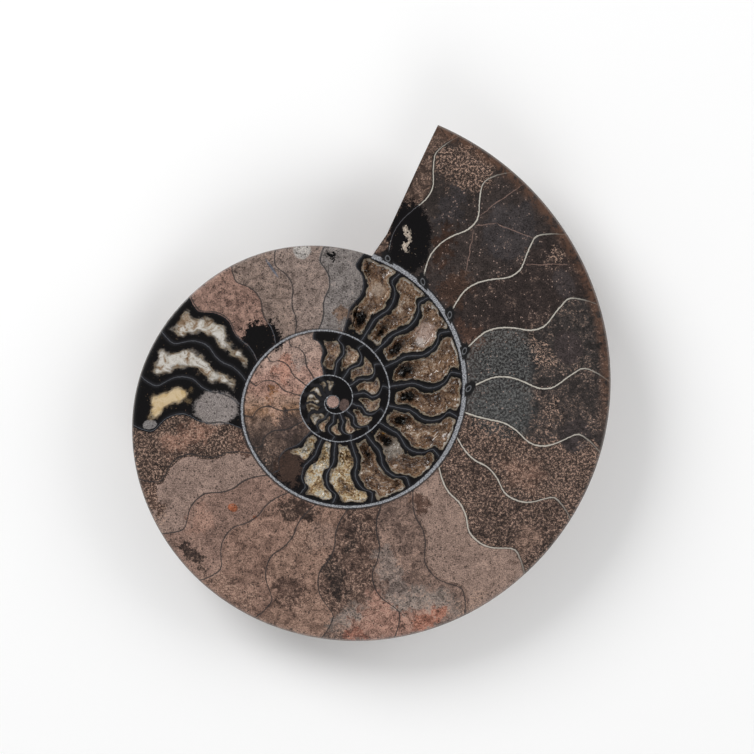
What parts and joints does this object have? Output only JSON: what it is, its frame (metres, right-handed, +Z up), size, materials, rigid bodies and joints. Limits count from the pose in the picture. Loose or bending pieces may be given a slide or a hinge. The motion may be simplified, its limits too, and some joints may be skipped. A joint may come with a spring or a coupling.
{
  "type": "ammonite fossil half",
  "caption": "Half of a coiled ammonite fossil, sawn flat and polished, with crystal-lined open chambers in the inner whorls and a ribbed, domed back.",
  "frame": {"origin": "middle of the bounding box, on the surface that the stone rests on", "axes": "+Z up, out of the polished cut face; +Y towards the mouth of the shell, which is the top of the picture; +X to the right of the picture"},
  "size_m": [0.1962, 0.2114, 0.0337],
  "materials": {
    "polished_stone": "gloss",
    "brown_crystals": "satin",
    "cream_calcite": "satin"
  },
  "bodies": {
    "root": {"fossil_half": "polished_stone", "crystal_crust_01": "cream_calcite", "crystal_crust_02": "cream_calcite", "crystal_crust_03": "cream_calcite", "crystal_crust_04": "brown_crystals", "crystal_crust_05": "brown_crystals", "crystal_crust_06": "brown_crystals", "crystal_crust_07": "brown_crystals", "crystal_crust_08": "brown_crystals", "crystal_crust_09": "brown_crystals", "crystal_crust_10": "brown_crystals", "crystal_crust_11": "brown_crystals", "crystal_crust_12": "brown_crystals", "crystal_crust_13": "brown_crystals", "crystal_crust_14": "brown_crystals", "crystal_crust_15": "brown_crystals", "crystal_crust_16": "brown_crystals", "crystal_crust_17": "brown_crystals", "crystal_crust_18": "brown_crystals", "crystal_crust_19": "brown_crystals", "crystal_crust_20": "brown_crystals"}
  },
  "joints": []
}
